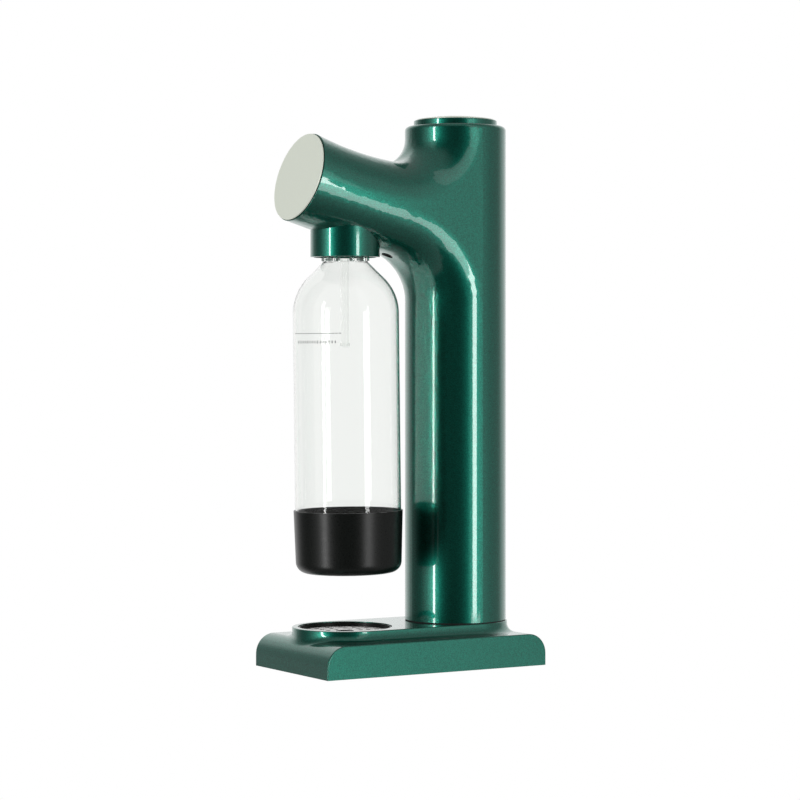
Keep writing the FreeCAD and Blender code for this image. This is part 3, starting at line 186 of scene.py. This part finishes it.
def bright_steel():
    """Bright stainless sheet with an even satin blast, and near-black painted shade on its upright faces: the
    walls of its holes and its rim.
    """
    finish, tree, shader = new_finish("bright_steel")
    rub = grain(tree, 900.0, 3.0, stretch=(1, 1, 0.1))
    facing = tree.nodes.new("ShaderNodeNewGeometry")
    upright = tree.nodes.new("ShaderNodeSeparateXYZ")
    tree.links.new(facing.outputs["Normal"], upright.inputs["Vector"])
    # Painted shade: faces that stand upright, the hole walls and the grate's rim, get near-black colour for
    # the shade in them; level faces keep the steel's tint.
    painted_hole_shade = tree.nodes.new("ShaderNodeMix")
    painted_hole_shade.data_type = "RGBA"
    painted_hole_shade.inputs["A"].default_value = (0.03, 0.03, 0.03, 1)
    tree.links.new(span(tree, upright.outputs["Z"], 0.0, 1.0, low=0.3, high=0.6), painted_hole_shade.inputs["Factor"])
    tree.links.new(
        tint_between(tree, rub.outputs["Fac"], (0.93, 0.93, 0.92, 1), (0.98, 0.98, 0.97, 1)),
        painted_hole_shade.inputs["B"],
    )
    tree.links.new(painted_hole_shade.outputs["Result"], shader.inputs["Base Color"])
    tree.links.new(span(tree, rub.outputs["Fac"], 0.36, 0.44), shader.inputs["Roughness"])
    shader.inputs["Metallic"].default_value = 0.5
    return finish


def black_moulding():
    """Black moulded plastic with a very fine spark-eroded texture."""
    finish, tree, shader = new_finish("black_moulding")
    texture = grain(tree, 1500.0, 3.0)
    tree.links.new(
        tint_between(tree, texture.outputs["Fac"], (0.0030, 0.0040, 0.0034, 1), (0.0060, 0.0072, 0.0064, 1)),
        shader.inputs["Base Color"],
    )
    tree.links.new(span(tree, texture.outputs["Fac"], 0.26, 0.34), shader.inputs["Roughness"])
    shader.inputs["Specular IOR Level"].default_value = 0.3
    raise_grain(tree, shader, texture.outputs["Fac"], 0.00003, 0.3)
    return finish


steel = bright_steel()
black = black_moulding()
smooth_over(nodes["drip_grate"])
finish_with(nodes["drip_grate"], steel)
for name in ("drip_cup", "base_plate", "cylinder_guide", "button_sleeve", "head_block", "arm_plug",
             "bottle_sleeve"):
    smooth_over(nodes[name])
    finish_with(nodes[name], black)

# --- Rubber: feet, gasket, seals, vent and hose -----------------------------------------------------
# Dull black moulded rubber, a little chalky in patches. The feet sit in seats under the base, the gasket
# lies under the column's edge, and the hose leads from the valve block to the head.


def black_rubber():
    """Dull black rubber."""
    finish, tree, shader = new_finish("black_rubber")
    bloom = grain(tree, 400.0, 4.0)
    tree.links.new(
        tint_between(tree, bloom.outputs["Fac"], (0.010, 0.010, 0.010, 1), (0.022, 0.022, 0.022, 1)),
        shader.inputs["Base Color"],
    )
    tree.links.new(span(tree, bloom.outputs["Fac"], 0.7, 0.85), shader.inputs["Roughness"])
    return finish


rubber = black_rubber()
for name in ("rubber_feet", "column_gasket", "cylinder_seal", "neck_seal", "vent_grommet", "gas_hose"):
    smooth_over(nodes[name])
    finish_with(nodes[name], rubber)

# --- Valve, cylinder and fixings inside the housing -------------------------------------------------
# The valve and its fittings are machined brass, and the gas cylinder is drawn aluminium. The bracket,
# the ring in the column's foot, the push rod, the screws and the bolts are zinc-plated steel.


def plated_steel():
    """Zinc-plated steel, slightly cloudy."""
    finish, tree, shader = new_finish("plated_steel")
    cloud = grain(tree, 300.0, 3.0)
    tree.links.new(
        tint_between(tree, cloud.outputs["Fac"], (0.50, 0.51, 0.52, 1), (0.64, 0.65, 0.66, 1)),
        shader.inputs["Base Color"],
    )
    tree.links.new(span(tree, cloud.outputs["Fac"], 0.3, 0.42), shader.inputs["Roughness"])
    shader.inputs["Metallic"].default_value = 1.0
    return finish


def machined_brass():
    """Machined brass with tool marks."""
    finish, tree, shader = new_finish("machined_brass")
    marks = grain(tree, 500.0, 2.0, stretch=(1, 1, 8))
    tree.links.new(
        tint_between(tree, marks.outputs["Fac"], (0.62, 0.42, 0.16, 1), (0.76, 0.55, 0.24, 1)),
        shader.inputs["Base Color"],
    )
    tree.links.new(span(tree, marks.outputs["Fac"], 0.22, 0.34), shader.inputs["Roughness"])
    shader.inputs["Metallic"].default_value = 1.0
    return finish


def cylinder_alloy():
    """Drawn aluminium of the gas cylinder."""
    finish, tree, shader = new_finish("cylinder_alloy")
    drawn = grain(tree, 300.0, 3.0, stretch=(1, 1, 0.05))
    tree.links.new(
        tint_between(tree, drawn.outputs["Fac"], (0.60, 0.61, 0.62, 1), (0.72, 0.73, 0.74, 1)),
        shader.inputs["Base Color"],
    )
    tree.links.new(span(tree, drawn.outputs["Fac"], 0.3, 0.45), shader.inputs["Roughness"])
    shader.inputs["Metallic"].default_value = 1.0
    return finish


plated = plated_steel()
brass = machined_brass()
alloy = cylinder_alloy()
for name in ("base_screws", "column_foot_ring", "column_bolts", "valve_bracket", "bracket_screws", "push_rod",
             "head_screws"):
    smooth_over(nodes[name])
    finish_with(nodes[name], plated)
for name in ("cylinder_valve", "valve_pin", "valve_block", "nozzle_stem", "valve_fitting", "head_elbow",
             "relief_valve"):
    smooth_over(nodes[name])
    finish_with(nodes[name], brass)
smooth_over(nodes["gas_cylinder"])
finish_with(nodes["gas_cylinder"], alloy)

# --- Return spring under the button -----------------------------------------------------------------
# Coil of zinc-plated wire that stands on the valve bracket. On the real machine it shortens as the button is
# pressed and its lower end stays put; here it is one still piece carried on the frame.
coil = bmesh.new()
coil.from_mesh(nodes["return_spring"].data)
bmesh.ops.remove_doubles(coil, verts=coil.verts, dist=weld_reach)
bmesh.ops.recalc_face_normals(coil, faces=coil.faces)
coil_mesh = bpy.data.meshes.new("pressed_spring")
coil.to_mesh(coil_mesh)
coil.free()
coil_mesh.materials.append(plated)
coil_mesh.polygons.foreach_set("use_smooth", [True] * len(coil_mesh.polygons))
spring = bpy.data.objects.new("pressed_spring", coil_mesh)
bpy.context.scene.collection.objects.link(spring)
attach(spring, "frame")
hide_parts("return_spring")
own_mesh(spring)

# --- Bottle, carbonating tube and neck --------------------------------------------------------------
# Blown PET bottle, clear with a faint grey cast. The tube and its tip are thinner and clearer plastic,
# and the ring that the neck screws into is milky.


def clear_plastic(name, tint, bend):
    """Clear plastic, from its cast and how much it bends the light."""
    finish, tree, shader = new_finish(name)
    swirl = grain(tree, 30.0, 2.0)
    tree.links.new(span(tree, swirl.outputs["Fac"], 0.01, 0.03), shader.inputs["Roughness"])
    shader.inputs["Base Color"].default_value = tint
    shader.inputs["Transmission Weight"].default_value = 1.0
    shader.inputs["IOR"].default_value = bend
    return finish


def milky_plastic():
    """Milky plastic of the thread ring."""
    finish, tree, shader = new_finish("milky_plastic")
    haze = grain(tree, 700.0, 2.0)
    tree.links.new(
        tint_between(tree, haze.outputs["Fac"], (0.52, 0.53, 0.53, 1), (0.60, 0.61, 0.61, 1)),
        shader.inputs["Base Color"],
    )
    tree.links.new(span(tree, haze.outputs["Fac"], 0.35, 0.5), shader.inputs["Roughness"])
    return finish


pet = clear_plastic("clear_pet", (0.945, 0.955, 0.943, 1), 1.32)
thin_clear = clear_plastic("thin_clear", (0.975, 0.98, 0.975, 1), 1.1)
clear_finishes = (
    ("bottle", pet), ("carbonating_tube", thin_clear), ("nozzle_tip", thin_clear),
    ("thread_ring", milky_plastic()),
)
for name, finish in clear_finishes:
    smooth_over(nodes[name])
    finish_with(nodes[name], finish)

# --- Fill line and scale on the bottle --------------------------------------------------------------
# Fine dashes printed round the bottle at the fill height, with a row of short ticks under them. They
# are thin films of grey ink on the plastic, so they move with the bottle.
bottle_axis = Vector((0, -0.05019, 0))
bottle_mouth_height = 0.34504
bottle_lean = math.radians(0.75)
bottle_radius = 0.042
view_angle = 58.82
join_reach = 0.000001


def band_piece(solid, radius, thickness, low, high, turn_from, turn_to, steps):
    """Adds a short upright band round the bottle, its angles counted to the right of the lens's side."""
    section = bmesh.ops.create_grid(solid, x_segments=1, y_segments=1, size=0.5)["verts"]
    bmesh.ops.scale(solid, verts=section, vec=(thickness, high - low, 1))
    bmesh.ops.rotate(solid, verts=section, cent=(0, 0, 0), matrix=Matrix.Rotation(math.pi / 2, 3, "X"))
    place = Vector((radius + thickness / 2, 0, (low + high) / 2))
    bmesh.ops.translate(solid, verts=section, vec=place)
    face = list({face for corner in section for face in corner.link_faces})
    start = math.radians(view_angle - 90 + turn_from)
    bmesh.ops.rotate(solid, verts=section, cent=(0, 0, 0), matrix=Matrix.Rotation(start, 3, "Z"))
    bmesh.ops.spin(
        solid, geom=face, cent=(0, 0, 0), axis=(0, 0, 1), dvec=(0, 0, 0),
        angle=math.radians(turn_to - turn_from), steps=steps, use_duplicate=False,
    )


def piece_on_bottle(name, solid, finish):
    """Closes a mesh, leans it with the bottle and lets it ride on the bottle."""
    bmesh.ops.remove_doubles(solid, verts=solid.verts, dist=join_reach)
    bmesh.ops.translate(solid, verts=solid.verts, vec=bottle_axis)
    bmesh.ops.rotate(
        solid, verts=solid.verts, cent=bottle_axis + Vector((0, 0, bottle_mouth_height)),
        matrix=Matrix.Rotation(bottle_lean, 3, "X"),
    )
    bmesh.ops.recalc_face_normals(solid, faces=solid.faces)
    mesh = bpy.data.meshes.new(name)
    solid.to_mesh(mesh)
    solid.free()
    piece = bpy.data.objects.new(name, mesh)
    bpy.context.scene.collection.objects.link(piece)
    mesh.materials.append(finish)
    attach(piece, "bottle")
    return piece


def grey_ink():
    """Grey screen-printing ink, thinner in places."""
    finish, tree, shader = new_finish("grey_ink")
    patch = grain(tree, 2500.0, 2.0)
    tree.links.new(
        tint_between(tree, patch.outputs["Fac"], (0.02, 0.022, 0.02, 1), (0.06, 0.062, 0.06, 1)),
        shader.inputs["Base Color"],
    )
    tree.links.new(span(tree, patch.outputs["Fac"], 0.5, 0.65), shader.inputs["Roughness"])
    return finish


ink = grey_ink()
ink_sink = 0.00002
ink_film = 0.00007
line_height = 0.2663
line_width = 0.00055
dash_count = 18
first_dash = -71.0
dash_pitch = 3.8
dash_angle = 2.3
dashes = bmesh.new()
for number in range(dash_count):
    turn = first_dash + dash_pitch * number
    band_piece(
        dashes, bottle_radius - ink_sink, ink_film, low=line_height - line_width / 2,
        high=line_height + line_width / 2, turn_from=turn, turn_to=turn + dash_angle, steps=2,
    )
piece_on_bottle("fill_line", dashes, ink)
tick_count = 16
first_tick = -62.0
tick_pitch = 3.4
tick_angle = 0.9
tick_middle = 0.2596
long_half = 0.0014
short_half = 0.0010
ticks = bmesh.new()
for number in range(tick_count):
    turn = first_tick + tick_pitch * number
    half = long_half if number % 4 == 1 else short_half
    band_piece(
        ticks, bottle_radius - ink_sink, ink_film, low=tick_middle - half, high=tick_middle + half,
        turn_from=turn, turn_to=turn + tick_angle, steps=1,
    )
piece_on_bottle("scale_ticks", ticks, ink)

# --- Lugs on the bottle's neck ring -----------------------------------------------------------------
# Short lugs moulded with the neck ring just under the collar, in the bottle's own plastic but thicker
# there, so they look smoky.


def smoky_plastic():
    """Thick clear plastic, grey where it is looked through."""
    finish, tree, shader = new_finish("smoky_plastic")
    swirl = grain(tree, 300.0, 2.0)
    tree.links.new(span(tree, swirl.outputs["Fac"], 0.04, 0.1), shader.inputs["Roughness"])
    shader.inputs["Base Color"].default_value = (0.30, 0.36, 0.34, 1)
    shader.inputs["Transmission Weight"].default_value = 0.85
    shader.inputs["IOR"].default_value = 1.45
    return finish


lug_root = 0.0179
lug_depth = 0.0012
lug_low, lug_high = 0.3232, 0.3258
lug_angles = (
    (-150, 14), (-112, 9), (-74, 12), (-42, 20), (-16, 10), (14, 6), (42, 22), (78, 12), (120, 9), (160, 14),
)
lugs = bmesh.new()
for middle, width in lug_angles:
    band_piece(
        lugs, lug_root, lug_depth, lug_low, lug_high, turn_from=middle - width / 2,
        turn_to=middle + width / 2, steps=6,
    )
piece_on_bottle("neck_lugs", lugs, smoky_plastic())

# --- Screw thread on the bottle's mouth -------------------------------------------------------------
# Two turns of low rounded thread, moulded with the mouth. They screw into the milky ring inside the
# collar, and are seen when the bottle is taken down.
thread_turns = 2
thread_root = 0.016
thread_low = 0.3315
thread_pitch = 0.0040
thread_height = 0.0003
thread_width = 0.0016
crest_sides = 8
thread = bmesh.new()
crest = bmesh.ops.create_circle(thread, cap_ends=True, segments=crest_sides, radius=thread_width / 2)["verts"]
bmesh.ops.scale(thread, verts=crest, vec=(2 * thread_height / thread_width, 1, 1))
bmesh.ops.rotate(thread, verts=crest, cent=(0, 0, 0), matrix=Matrix.Rotation(math.pi / 2, 3, "X"))
bmesh.ops.translate(thread, verts=crest, vec=(thread_root, 0, thread_low))
steps_in_turn = 72
steps = steps_in_turn * thread_turns
bmesh.ops.spin(
    thread, geom=list(thread.faces), cent=(0, 0, 0), axis=(0, 0, 1),
    dvec=(0, 0, thread_turns * thread_pitch / steps), angle=2 * math.pi * thread_turns, steps=steps,
    use_duplicate=False,
)
screw_thread = piece_on_bottle("mouth_thread", thread, pet)
screw_thread.data.polygons.foreach_set("use_smooth", [True] * len(screw_thread.data.polygons))

# --- Studio: pale floor, soft panels and a white backdrop -------------------------------------------
# The floor is white card that shows straight on and through the clear pieces, and the lacquer doesn't
# mirror it. Two tall soft strips stand left and right of the lens. The room that the lacquer mirrors is
# dark behind the lens and white behind the object.
view_turn = math.radians(view_angle)
towards_lens = Vector((math.sin(view_turn), -math.cos(view_turn), 0))
right_of_lens = Vector((math.cos(view_turn), math.sin(view_turn), 0))

floor_radius = 1.1
floor_mesh = bpy.data.meshes.new("floor")
sheet = bmesh.new()
bmesh.ops.create_circle(sheet, cap_ends=True, segments=96, radius=floor_radius)
sheet.to_mesh(floor_mesh)
sheet.free()
floor = bpy.data.objects.new("floor", floor_mesh)
bpy.context.scene.collection.objects.link(floor)
floor.visible_glossy = False
floor.visible_shadow = False

card, tree, shader = new_finish("floor_card")
shader.inputs["Base Color"].default_value = (0.8, 0.8, 0.8, 1)
shader.inputs["Roughness"].default_value = 0.9
white = tree.nodes.new("ShaderNodeEmission")
path = tree.nodes.new("ShaderNodeLightPath")
seen_floor = tree.nodes.new("ShaderNodeMath")
seen_floor.operation = "MAXIMUM"
tree.links.new(path.outputs["Is Camera Ray"], seen_floor.inputs[0])
tree.links.new(path.outputs["Is Transmission Ray"], seen_floor.inputs[1])
mix = tree.nodes.new("ShaderNodeMixShader")
tree.links.new(seen_floor.outputs["Value"], mix.inputs["Fac"])
tree.links.new(shader.outputs["BSDF"], mix.inputs[1])
tree.links.new(white.outputs["Emission"], mix.inputs[2])
tree.links.new(mix.outputs["Shader"], tree.nodes["Material Output"].inputs["Surface"])
floor.data.materials.append(card)


def soft_panel(name, turn, half_angle, low, high, radiance):
    """Far soft strip: its angle to the right of the lens, and its lowest and highest angle, in degrees."""
    angle = math.radians(turn)
    direction = towards_lens * math.cos(angle) + right_of_lens * math.sin(angle)
    bottom = lens_height + panel_distance * math.tan(math.radians(low))
    top = lens_height + panel_distance * math.tan(math.radians(high))
    width = 2 * panel_distance * math.tan(math.radians(half_angle))
    lamp = bpy.data.lights.new(name, "AREA")
    lamp.shape = "RECTANGLE"
    lamp.size = width
    lamp.size_y = top - bottom
    lamp.energy = math.pi * width * (top - bottom) * radiance
    panel = bpy.data.objects.new(name, lamp)
    bpy.context.scene.collection.objects.link(panel)
    panel.location = direction * panel_distance + Vector((0, 0, (bottom + top) / 2))
    panel.rotation_euler = (-direction).to_track_quat("-Z", "Y").to_euler()
    panel.visible_camera = False


panel_distance = 12.0
lens_height = 0.25224
core_low = -6.8
core_high = 3.0
soft_panel("left_panel", turn=-50.5, half_angle=2.6, low=-30.0, high=24.0, radiance=15.0)
soft_panel("right_core", turn=43.8, half_angle=5.0, low=core_low, high=core_high, radiance=9.5)
# Four panels over one another, each wider and lower than the last, so the light fades to its sides.
right_fades = ((2.0, 62, 0.5), (4.5, 60, 0.55), (7.5, 57, 0.5), (11.0, 54, 0.4))
for ring, (half_angle, top, radiance) in enumerate(right_fades):
    soft_panel("right_high_%d" % ring, 43.0, half_angle, core_high, top, radiance)
soft_panel("right_low", turn=45.5, half_angle=10.0, low=-26.0, high=core_low, radiance=2.8)

world = bpy.data.worlds.new("studio")
bpy.context.scene.world = world
world.use_nodes = True
world.cycles.sampling_method = "NONE"
sky = world.node_tree
for node in list(sky.nodes):
    sky.nodes.remove(node)


def sky_ramp(source, levels):
    """Grey levels over a socket that runs from 0 to 1."""
    ramp = sky.nodes.new("ShaderNodeValToRGB")
    stops = ramp.color_ramp
    stops.interpolation = "EASE"
    while len(stops.elements) < len(levels):
        stops.elements.new(0.5)
    for stop, (position, level) in zip(stops.elements, levels):
        stop.position = position
        stop.color = (level, level, level, 1)
    sky.links.new(source, ramp.inputs["Fac"])
    return ramp.outputs["Color"]


direction = sky.nodes.new("ShaderNodeTexCoord")
turned = sky.nodes.new("ShaderNodeMapping")
turned.inputs["Rotation"].default_value = (0, 0, math.pi / 2 - view_turn)
round_sky = sky.nodes.new("ShaderNodeTexGradient")
round_sky.gradient_type = "RADIAL"
sky.links.new(direction.outputs["Generated"], turned.inputs["Vector"])
sky.links.new(turned.outputs["Vector"], round_sky.inputs["Vector"])
# The room's walls: how far to the right of the lens, in degrees, and how light.
round_levels = (
    (-180, 1.0), (-150, 0.95), (-136, 0.75), (-122, 0.26), (-104, 0.10), (-88, 0.12), (-74, 0.34),
    (-58, 0.72), (-47, 0.5), (-38, 0.02), (26, 0.02), (36, 0.35), (62, 0.50), (84, 0.34), (112, 0.28),
    (136, 0.75), (160, 1.0), (180, 1.0),
)
walls = sky_ramp(round_sky.outputs["Fac"], [(0.5 + turn / 360.0, level) for turn, level in round_levels])
height = sky.nodes.new("ShaderNodeSeparateXYZ")
sky.links.new(direction.outputs["Generated"], height.inputs["Vector"])
lift = sky.nodes.new("ShaderNodeMapRange")
lift.inputs["From Min"].default_value = -1.0
sky.links.new(height.outputs["Z"], lift.inputs["Value"])
# On both ramps 0 is straight down, 0.5 is level and 1 is straight up.
above_below = sky_ramp(
    lift.outputs["Result"], [(0.0, 0.12), (0.08, 0.2), (0.15, 0.3), (0.2, 0.3), (0.85, 0.3), (1.0, 0.35)]
)
share = sky_ramp(lift.outputs["Result"], [(0.15, 0.0), (0.2, 1.0), (0.75, 1.0), (0.91, 0.0)])
ceiling = sky.nodes.new("ShaderNodeMix")
ceiling.data_type = "RGBA"
sky.links.new(share, ceiling.inputs["Factor"])
sky.links.new(above_below, ceiling.inputs["A"])
sky.links.new(walls, ceiling.inputs["B"])
seen_sky = sky.nodes.new("ShaderNodeLightPath")


def lit(level=None, source=None):
    """Even background of one grey level, or of a coloured socket."""
    background = sky.nodes.new("ShaderNodeBackground")
    if source is None:
        background.inputs["Color"].default_value = (level, level, level, 1)
    else:
        sky.links.new(source, background.inputs["Color"])
    return background.outputs["Background"]


def choose(chance, first, second):
    """The second background where the chance is 1, and the first elsewhere."""
    switch = sky.nodes.new("ShaderNodeMixShader")
    sky.links.new(chance, switch.inputs["Fac"])
    sky.links.new(first, switch.inputs[1])
    sky.links.new(second, switch.inputs[2])
    return switch.outputs["Shader"]


fill_level = 0.62
shine = choose(seen_sky.outputs["Is Glossy Ray"], lit(fill_level), lit(source=ceiling.outputs["Result"]))
straight = sky.nodes.new("ShaderNodeMath")
straight.operation = "MAXIMUM"
sky.links.new(seen_sky.outputs["Is Camera Ray"], straight.inputs[0])
sky.links.new(seen_sky.outputs["Is Transmission Ray"], straight.inputs[1])
whole = choose(straight.outputs["Value"], shine, lit(1.0))
sky_out = sky.nodes.new("ShaderNodeOutputWorld")
sky.links.new(whole, sky_out.inputs["Surface"])

# --- Lens -------------------------------------------------------------------------------------------
# A long lens a little above the bottle's middle. It is level, so upright edges stay upright, and its
# frame is dropped a little.
lens_place = (1.79437, -1.08522)
lens = bpy.data.cameras.new("lens")
lens.sensor_width = 36.0
lens.lens = 117.82
lens.shift_y = -0.06138
lens.dof.use_dof = False
camera = bpy.data.objects.new("camera", lens)
bpy.context.scene.collection.objects.link(camera)
camera.location = (*lens_place, lens_height)
camera.rotation_euler = (math.pi / 2, 0, view_turn)
bpy.context.scene.camera = camera
bpy.context.scene.view_settings.view_transform = "Standard"
